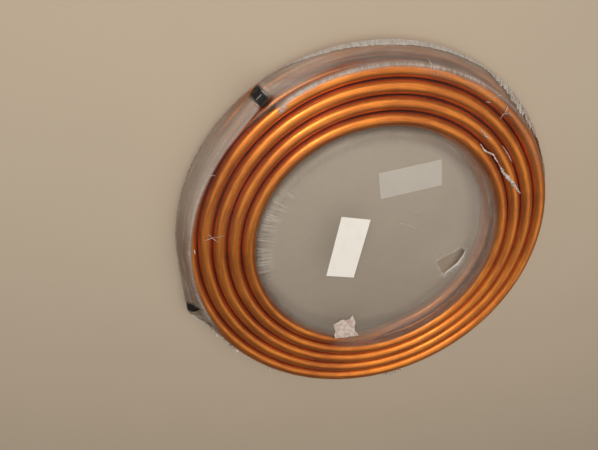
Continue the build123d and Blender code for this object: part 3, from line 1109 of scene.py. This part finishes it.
def note_film_state(piece):
    """Store where the film is hazy, how pale its haze is, and where it is ribbed, white or carries a painted
    sheen.
    """
    places = vertex_array(piece)
    radius, angle = polar(places[:, 0], places[:, 1])
    radii, heights = radial_sections(angle)
    past = radius - np.where(heights > rear_height() * 2, radii, 0).max(axis=0)
    upper = on_front(places[:, 2])
    bore = 1 - smooth_step(radius, 0.178, 0.202)
    towards_top = np.cos(np.radians(angle - PALE_BEARING)) * np.clip(radius / 0.20, 0, 1)
    rim, sheen = rim_haze(angle, past)
    across = stand_off_haze(radius, angle, places[:, 2], bore, towards_top)
    clear = clear_of_caps(places)
    store(piece, "haze", np.maximum(across, rim * upper) * clear)
    greyer = 0.42 * bearing_share(angle, *GREY_FILM) + 0.22 * bearing_share(angle, *TOP_FILM)
    # Painted light: across the bore the haze is painted paler towards PALE_BEARING
    store(piece, "pale", np.maximum(bore * (0.72 + 0.28 * towards_top), greyer * upper))
    ribbed = smooth_step(radius, 0.168, 0.190) * (1 - smooth_step(radius, 0.200, 0.210))
    store(piece, "rib", ribbed * (0.20 + 0.80 * bearing_share(angle, *RIBBED_FILM)) * upper)
    on_crest = smooth_step(past, -0.010, 0.0) * (1 - smooth_step(past, 0.006, 0.010))
    frost = bearing_share(angle, *FROSTED_FILM) * on_crest
    white = 0.75 * tear_whitening(places) + 0.24 * frost
    store(piece, "white", np.clip(white * upper, 0, 1))
    # Painted sheen, kept for the film's material
    store(piece, "sheen", np.clip(0.62 * sheen * upper * clear, 0, 1))


def tube_ends():
    """For each free end: the tip of the tube and the way that it points."""
    ends = []
    for layer in layers():
        points = free_end_points(layer)
        pointing = points[0] - points[1]
        ends.append((Vector(points[0]), Vector(pointing).normalized()))
    return ends


class COIL_OT_copper_tube(bpy.types.Operator):
    """Wind the copper tube: both layers, the crossover in the bore and the two free ends"""

    bl_idname = "tube_coil.copper_tube"
    bl_label = "Copper tube"

    def execute(self, context):
        clear_selection()
        line = tube_line()
        curve = bpy.data.curves.new("wound_tube", "CURVE")
        curve.dimensions = "3D"
        curve.bevel_depth = tube_radius()
        curve.bevel_resolution = settings().sizes.sides
        curve.use_fill_caps = True
        spline = curve.splines.new("POLY")
        spline.points.add(len(line) - 1)
        spline.points.foreach_set("co", np.hstack([line, np.ones((len(line), 1))]).ravel())
        piece = bpy.data.objects.new("wound_tube", curve)
        context.scene.collection.objects.link(piece)
        only(piece)
        bpy.ops.object.convert(target="MESH")
        piece = context.object
        join_points(piece)
        shade_smooth(piece, 60)
        finish_piece(piece, "copper", copper_material(), "copper_tube")
        return {"FINISHED"}


class COIL_OT_end_caps(bpy.types.Operator):
    """Make the two slip-on caps, with dimpled grips, and push them on the free ends"""

    bl_idname = "tube_coil.end_caps"
    bl_label = "End caps"

    def execute(self, context):
        material = cap_material()
        for name, (tip, pointing) in zip(("end_cap_front", "end_cap_rear"), tube_ends()):
            piece = self.cap()
            piece.name = name.replace("end_cap", "grip_cap")
            look = settings().cap
            closed_end = tip + pointing * look.end_thickness
            turn = Vector((0, 0, 1)).rotation_difference(pointing).to_matrix().to_4x4()
            piece.data.transform(Matrix.Translation(closed_end) @ turn)
            finish_piece(piece, "cap_plastic", material, name)
        return {"FINISHED"}

    def cap(self):
        """One cap with its closed end at the origin, reaching down the Z axis."""
        look = settings().cap
        radius = tube_radius() + look.fit + look.wall
        clear_selection()
        bpy.ops.mesh.primitive_cylinder_add(
            vertices=40, radius=radius, depth=look.length, location=(0, 0, -look.length / 2)
        )
        bpy.ops.object.transform_apply(location=True, rotation=True, scale=True)
        piece = bpy.context.object
        self.hollow(piece)
        self.round_end(piece)
        self.dimple(piece)
        shade_smooth(piece, 35)
        return piece

    def pick(self, piece, wanted):
        """Select the faces that a test wants, in edit mode."""
        edit_faces(piece, [wanted(polygon) for polygon in piece.data.polygons])

    def hollow(self, piece):
        """Open the cap's mouth and sink it as far as the tube goes in."""
        look = settings().cap
        self.pick(piece, lambda polygon: polygon.normal.z < -0.9)
        bpy.ops.mesh.inset(thickness=look.wall)
        bpy.ops.mesh.extrude_region_move(
            TRANSFORM_OT_translate={"value": (0, 0, look.length - look.end_thickness)}
        )
        leave_edit()

    def round_end(self, piece):
        """Round the closed end's edge, then sink its middle and lift it a little, as moulded."""
        self.pick(piece, lambda polygon: polygon.normal.z > 0.9 and polygon.center.z > -0.0001)
        bpy.ops.mesh.bevel(offset=0.0012, segments=3, affect="EDGES")
        leave_edit()
        self.pick(piece, lambda polygon: polygon.normal.z > 0.9 and polygon.area > 0.0001)
        bpy.ops.mesh.inset(thickness=0.0022, depth=-0.0006)
        bpy.ops.mesh.inset(thickness=0.0016, depth=0.0004)
        leave_edit()

    def dimple(self, piece):
        """Cut the side into rings and press a dimple into each face of the grip."""
        look = settings().cap
        outside = (tube_radius() + look.fit + look.wall) * 0.97
        edit_all(piece)
        for share in (0.12, 0.30, 0.48, 0.66, 0.84):
            bpy.ops.mesh.select_all(action="SELECT")
            bpy.ops.mesh.bisect(plane_co=(0, 0, -look.length * share), plane_no=(0, 0, 1))
        leave_edit()

        def on_grip(polygon):
            flat = math.hypot(polygon.center.x, polygon.center.y)
            between = -look.length * 0.85 < polygon.center.z < -look.length * 0.11
            return flat > outside and between and abs(polygon.normal.z) < 0.2

        self.pick(piece, on_grip)
        bpy.ops.mesh.inset(thickness=0.00032, depth=-look.dimple_depth, use_individual=True)
        leave_edit()


class COIL_OT_shrink_film(bpy.types.Operator):
    """Draw the clear film round the coil, with its tear"""

    bl_idname = "tube_coil.shrink_film"
    bl_label = "Shrink film"

    def execute(self, context):
        piece = film_blank()
        shape_film(piece)
        edge = trim_sheet(piece, TEAR_OUTLINE, top_height() / 2, False)
        self.curl_tear(piece, edge)
        note_film_state(piece)
        shade_smooth(piece)
        give_thickness(piece, settings().film.thickness, -1.0)
        finish_piece(piece, "film", film_material(), "film_front", "film_rear", "film_rim")
        return {"FINISHED"}

    def curl_tear(self, piece, edge):
        """Lift the tear's edge a little, unevenly."""
        places = vertex_array(piece)
        for index in edge:
            x, y = places[index, 0], places[index, 1]
            places[index, 2] += TEAR_LIFT * (0.4 + noise.noise(Vector((x, y, 0)) * 210))
        place_vertices(piece, places)


def strip_faces(rows, columns, closed):
    """Faces between neighbouring rows of points, round to the first column again if closed."""
    faces = []
    last = columns if closed else columns - 1
    for row in range(rows - 1):
        for column in range(last):
            ahead = (column + 1) % columns
            first, second = row * columns, (row + 1) * columns
            faces.append((first + column, first + ahead, second + ahead, second + column))
    return faces


def even_line(points, step):
    """Points at an even spacing along a broken line."""
    points = np.array(points)
    along = np.concatenate([[0], np.cumsum(np.linalg.norm(np.diff(points, axis=0), axis=1))])
    count = max(int(along[-1] / step) + 1, 4)
    places = np.linspace(0, along[-1], count)
    return np.stack([np.interp(places, along, points[:, axis]) for axis in range(2)], axis=1)


def across_line(line):
    """Unit vectors at right angles to a flat line."""
    ahead = np.gradient(line, axis=0)
    ahead /= np.linalg.norm(ahead, axis=1)[:, None]
    return np.stack([-ahead[:, 1], ahead[:, 0]], axis=1)


class COIL_OT_film_seam(bpy.types.Operator):
    """Add the ragged weld that runs round the rim: it lies on the film, and stands out in two places"""

    bl_idname = "tube_coil.film_seam"
    bl_label = "Film seam"

    def execute(self, context):
        angle = np.linspace(0, FULL_TURN, SEAM_STEPS, endpoint=False)
        even = bearing_share(angle, *EVEN_WELD)
        rows = self.rows(angle, even)
        piece = new_piece("film_seam", np.concatenate(rows), [], strip_faces(len(rows), SEAM_STEPS, True))
        store(piece, "even", np.tile(even, len(rows)))
        give_thickness(piece, settings().film.thickness / 2, 0.0)
        shade_smooth(piece)
        finish_piece(piece, "film", shred_material("film_weld", 0.22, 0.72))
        return {"FINISHED"}

    def rows(self, angle, even):
        """The weld's points, row by row from its foot to its free edge."""
        front, rear = film_reach(angle)
        tube = film_radius()
        front_z = blurred_height(front - tube, angle, True) - tube
        ragged = 0.66 + 0.50 * (1 - 0.70 * even) * ripples(angle, (17, 37, 71, 131, 223), 4)
        width = settings().film.seam_width * by_bearing(angle, SEAM_WIDTHS) * np.clip(ragged, 0.12, 1.15)
        crinkle = ripples(angle, (41, 89, 157, 251), 3) * (1 - 0.6 * even)
        flare = sum(height * bearing_share(angle, *stretch) for height, stretch in WELD_FLARES)
        flare *= np.clip(0.75 + 0.9 * crinkle, 0.1, 1.2)
        rows = []
        for share, stand in SEAM_ROWS:
            down = SEAM_FOOT - np.minimum(share * width / RIM_LENGTH, SEAM_REACH)
            outwards = max(share, 0)
            off = stand + 0.0007 * np.clip(crinkle, -0.4, 1.2) * outwards + flare * outwards ** 2
            radius, height = rim_profile(angle, down, front - tube, front_z, rear - tube, tube + off)
            rows.append(from_polar(radius, angle, np.minimum(height, top_height() + SEAM_CLEARANCE)))
        return rows


class COIL_OT_torn_film(bpy.types.Operator):
    """Curl the lip of the tear and lay the drawn-out strands, and the painted glints over the front cap, on
    the film
    """

    bl_idname = "tube_coil.torn_film"
    bl_label = "Torn film"

    def execute(self, context):
        curled = shred_material("curled_film", 0.88, 1.0, (0.70, 0.65, 0.61))
        drawn = shred_material("torn_film", 0.35, 0.92)
        parts = (("torn_lip", curled, *self.lip()), ("torn_strands", drawn, *self.strands()))
        for name, material, points, faces in parts:
            piece = new_piece(name, points, [], faces)
            give_thickness(piece, settings().film.thickness / 2, 1.0)
            shade_smooth(piece)
            finish_piece(piece, "film", material)
        return {"FINISHED"}

    def lip(self):
        """The lip's points and faces: it rises from the tear's edge and rolls over outwards."""
        line = even_line(LIP_LINE, 0.0008)
        outwards = -across_line(line)
        share = np.linspace(0, 1, len(line))
        size = np.sin(np.pi * np.clip(share, 0.04, 0.96)) ** 0.5
        size *= 0.70 + 0.45 * ripples(share * FULL_TURN, (3, 7, 13, 23), 31)
        size = np.clip(size, 0.05, 1.1)
        base = face_height(line[:, 0], line[:, 1]) - 0.0001
        rows = []
        for turn in np.radians(np.linspace(0, 210, 10)):
            flat = line + outwards * (LIP_WIDTH * size * (np.sin(turn) + 0.8 * turn / math.pi))[:, None]
            rows.append(np.column_stack([flat, base + LIP_HEIGHT * size * (1 - math.cos(turn))]))
        return np.concatenate(rows), strip_faces(len(rows), len(line), False)

    def strands(self):
        """The strands' points and faces: narrow strips with a raised middle, pointed at both ends."""
        points, faces, made = [], [], 0
        for number, (half_width, route) in enumerate(STRANDS):
            line = even_line(route, 0.0012)
            share = np.linspace(0, 1, len(line))
            across = across_line(line)
            sway = ripples(share * FULL_TURN, (1, 3, 5), 60 + number) * 0.0008
            line = line + across * (sway * np.sin(np.pi * share))[:, None]
            width = half_width * np.sin(np.pi * np.clip(share, 0.03, 0.97)) ** 0.6
            width = width * (0.65 + 0.4 * ripples(share * FULL_TURN, (4, 9), 80 + number))
            for side, rise in ((-1, 0.0001), (0, 0.0005), (1, 0.0001)):
                flat = line + across * (width * side)[:, None]
                points.append(np.column_stack([flat, face_height(flat[:, 0], flat[:, 1]) + rise]))
            faces += [tuple(made + corner for corner in face) for face in strip_faces(3, len(line), False)]
            made += 3 * len(line)
        return np.concatenate(points), faces


def lay_on_film(piece):
    """Lower a piece that lies on the front face on to the film's folds."""
    places = vertex_array(piece)
    places[:, 2] += face_height(places[:, 0], places[:, 1]) - top_height() + 0.0001
    place_vertices(piece, places)


class COIL_OT_labels(bpy.types.Operator):
    """Lay the two plain paper labels on the film"""

    bl_idname = "tube_coil.labels"
    bl_label = "Labels"

    def execute(self, context):
        material = paper_material("label_paper", settings().paper.label_white, 0.12)
        for node, name, size, turn, seed in LABELS:
            piece = self.sheet(name, size, seed)
            low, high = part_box(node)
            place = Matrix.Translation((low + high) / 2)
            piece.data.transform(place @ Matrix.Rotation(math.radians(turn), 4, "Z"))
            if node == "front_label":
                lay_on_film(piece)
            shade_smooth(piece, 50)
            finish_piece(piece, "paper", material, node)
        return {"FINISHED"}

    def sheet(self, name, size, seed):
        """A sheet about the origin, with a faint cockle."""
        clear_selection()
        bpy.ops.mesh.primitive_grid_add(x_subdivisions=16, y_subdivisions=34, size=1.0)
        piece = bpy.context.object
        piece.name = name
        edit_all(piece)
        bpy.ops.transform.resize(value=(*size, 1.0))
        leave_edit()
        places = vertex_array(piece)
        for place in places:
            place[2] = COCKLE_HEIGHT * noise.noise(Vector((place[0] * 45, place[1] * 45, seed)))
        place_vertices(piece, places)
        give_thickness(piece, settings().paper.thickness, 0.0)
        return piece


class COIL_OT_paper_scrap(bpy.types.Operator):
    """Crumple the scrap of paper on the film"""

    bl_idname = "tube_coil.paper_scrap"
    bl_label = "Paper scrap"

    def execute(self, context):
        clear_selection()
        bpy.ops.mesh.primitive_grid_add(x_subdivisions=34, y_subdivisions=34, size=SCRAP_SHEET)
        piece = context.object
        piece.name = "crumpled_scrap"
        trim_sheet(piece, SCRAP_OUTLINE, -1.0, True)
        self.crumple(piece)
        lay_on_film(piece)
        give_thickness(piece, settings().paper.thickness, 0.0)
        shade_smooth(piece, 14)
        material = paper_material("scrap_paper", settings().paper.scrap_white, 0.75)
        finish_piece(piece, "paper", material, "paper_scrap")
        return {"FINISHED"}

    def crumple(self, piece):
        """Raise sharp creases, note how low the paper lies for the painted shade in its creases, and move it
        to its node's place.
        """
        places = vertex_array(piece)
        for place in places:
            spot = Vector((place[0], place[1], 0.3))
            fold = abs(noise.noise(spot * 95)) + 0.5 * abs(noise.noise(spot * 230))
            place[2] = 0.0002 + CREASE_HEIGHT * min(fold * 2.1, 0.85)
        # Painted shade in the low creases, kept for the paper's material
        store(piece, "crease", 1 - smooth_step(places[:, 2], 0.0003, 0.0023))
        low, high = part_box("paper_scrap")
        outline = np.array(SCRAP_OUTLINE)
        middle = (outline.max(axis=0) + outline.min(axis=0)) / 2
        places += np.array(((low.x + high.x) / 2 - middle[0], (low.y + high.y) / 2 - middle[1], low.z))
        place_vertices(piece, places)


class COIL_OT_stage(bpy.types.Operator):
    """Set the floor, the soft lights and the camera"""

    bl_idname = "tube_coil.stage"
    bl_label = "Stage"

    def execute(self, context):
        look = settings().stage
        clear_selection()
        bpy.ops.mesh.primitive_plane_add(size=look.floor_size, location=(0, 0, FLOOR_LEVEL))
        bpy.ops.object.transform_apply(location=True, rotation=True, scale=True)
        floor = context.object
        floor.name = "floor"
        floor.data.materials.append(floor_material())
        for name, place, size in BROAD_LIGHTS:
            self.light(name, place, size, getattr(look, name + "_power"), (place[0], place[1], 0.0))
        self.light(*SIDE_LIGHT, look.side_power, (0.0, 0.0, 0.0))
        world = bpy.data.worlds.new("soft_sky")
        world.use_nodes = True
        background = world.node_tree.nodes["Background"]
        background.inputs["Color"].default_value = SKY_COLOUR
        background.inputs["Strength"].default_value = look.sky_strength
        context.scene.world = world
        context.scene.view_settings.view_transform = "Standard"
        self.camera(context, look)
        return {"FINISHED"}

    def light(self, name, place, size, power, target):
        """An oblong soft light that faces a target."""
        bpy.ops.object.light_add(type="AREA", location=place)
        lamp = bpy.context.object
        lamp.name = name
        lamp.data.shape = "RECTANGLE"
        lamp.data.size, lamp.data.size_y = size
        lamp.data.energy = power
        lamp.data.color = LAMP_COLOUR
        lamp.rotation_euler = (Vector(place) - Vector(target)).to_track_quat("Z", "Y").to_euler()

    def camera(self, context, look):
        """Set the camera to the photograph's own view."""
        right, up = Vector(VIEW_RIGHT), Vector(VIEW_UP)
        bpy.ops.object.camera_add(location=VIEW_PLACE)
        camera = context.object
        camera.name = "view"
        camera.data.sensor_width = 36.0
        camera.data.lens = look.lens
        camera.data.clip_start = 0.01
        camera.rotation_euler = Matrix((right, up, right.cross(up))).transposed().to_euler()
        context.scene.camera = camera


OPERATORS = (
    COIL_OT_copper_tube,
    COIL_OT_end_caps,
    COIL_OT_shrink_film,
    COIL_OT_film_seam,
    COIL_OT_torn_film,
    COIL_OT_labels,
    COIL_OT_paper_scrap,
    COIL_OT_stage,
)


class COIL_PT_panel(bpy.types.Panel):
    """Buttons for the coil's pieces"""

    bl_label = "Copper tube coil"
    bl_idname = "COIL_PT_panel"
    bl_space_type = "VIEW_3D"
    bl_region_type = "UI"
    bl_category = "Tube coil"

    def draw(self, context):
        for operator in OPERATORS:
            self.layout.operator(operator.bl_idname)


GROUPS = (CoilSizes, CopperLook, FilmLook, CapLook, PaperLook, StageLook, CoilSettings)


def register():
    """Register the classes and the settings."""
    for item in (*GROUPS, *OPERATORS, COIL_PT_panel):
        bpy.utils.register_class(item)
    bpy.types.Scene.tube_coil = PointerProperty(type=CoilSettings)


def unregister():
    """Take them away again."""
    del bpy.types.Scene.tube_coil
    for item in reversed((*GROUPS, *OPERATORS, COIL_PT_panel)):
        bpy.utils.unregister_class(item)


def main():
    """Build every piece in order."""
    register()
    bpy.ops.tube_coil.copper_tube()
    bpy.ops.tube_coil.end_caps()
    bpy.ops.tube_coil.shrink_film()
    bpy.ops.tube_coil.film_seam()
    bpy.ops.tube_coil.torn_film()
    bpy.ops.tube_coil.labels()
    bpy.ops.tube_coil.paper_scrap()
    bpy.ops.tube_coil.stage()


if __name__ == "__main__":
    main()
